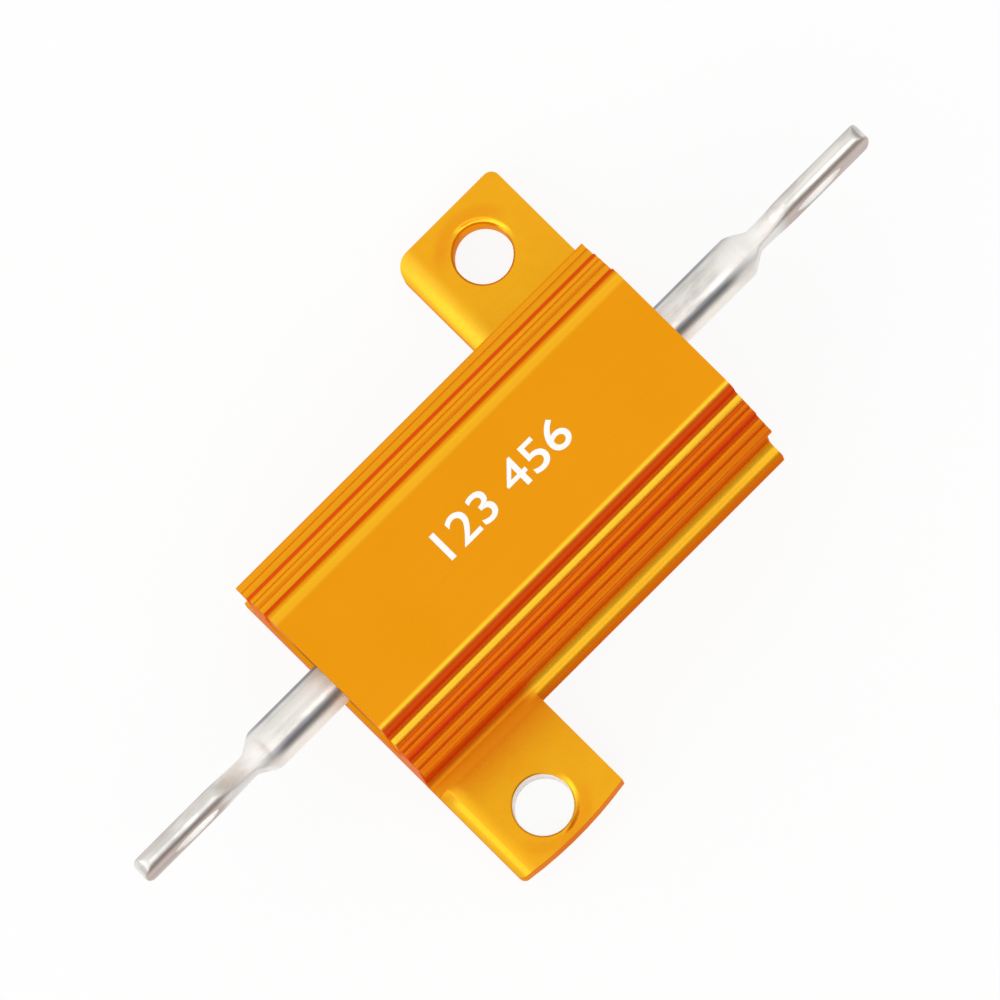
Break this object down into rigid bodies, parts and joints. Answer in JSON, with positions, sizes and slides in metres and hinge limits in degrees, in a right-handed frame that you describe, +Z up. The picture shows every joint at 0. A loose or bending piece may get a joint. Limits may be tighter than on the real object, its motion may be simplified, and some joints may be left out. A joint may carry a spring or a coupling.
{
  "type": "wirewound power resistor",
  "caption": "Aluminium-housed wirewound power resistor: stepped ribs, two diagonal screw ears, a pierced solder lug at each end.",
  "frame": {"origin": "centre of the two mounting holes, on the mounting face under the middle of the housing", "axes": "+X along the leads, towards the right terminal; +Y towards the far ear; +Z up, away from the mounting face"},
  "size_m": [0.0403, 0.021, 0.0105],
  "materials": {
    "anodised_aluminium": "satin orange gold anodised",
    "potting_cement": "matt pale grey cement",
    "steatite": "matt white ceramic",
    "resistance_wire": "drawn nickel chromium",
    "cap_steel": "drawn nickel plated steel",
    "tinned_terminal": "bright tinned"
  },
  "bodies": {
    "root": {"housing": "anodised_aluminium", "cement_fill": "potting_cement", "ceramic_core": "steatite", "resistance_winding": "resistance_wire", "left_end_cap": "cap_steel", "right_end_cap": "cap_steel", "left_terminal": "tinned_terminal", "right_terminal": "tinned_terminal"}
  },
  "joints": []
}
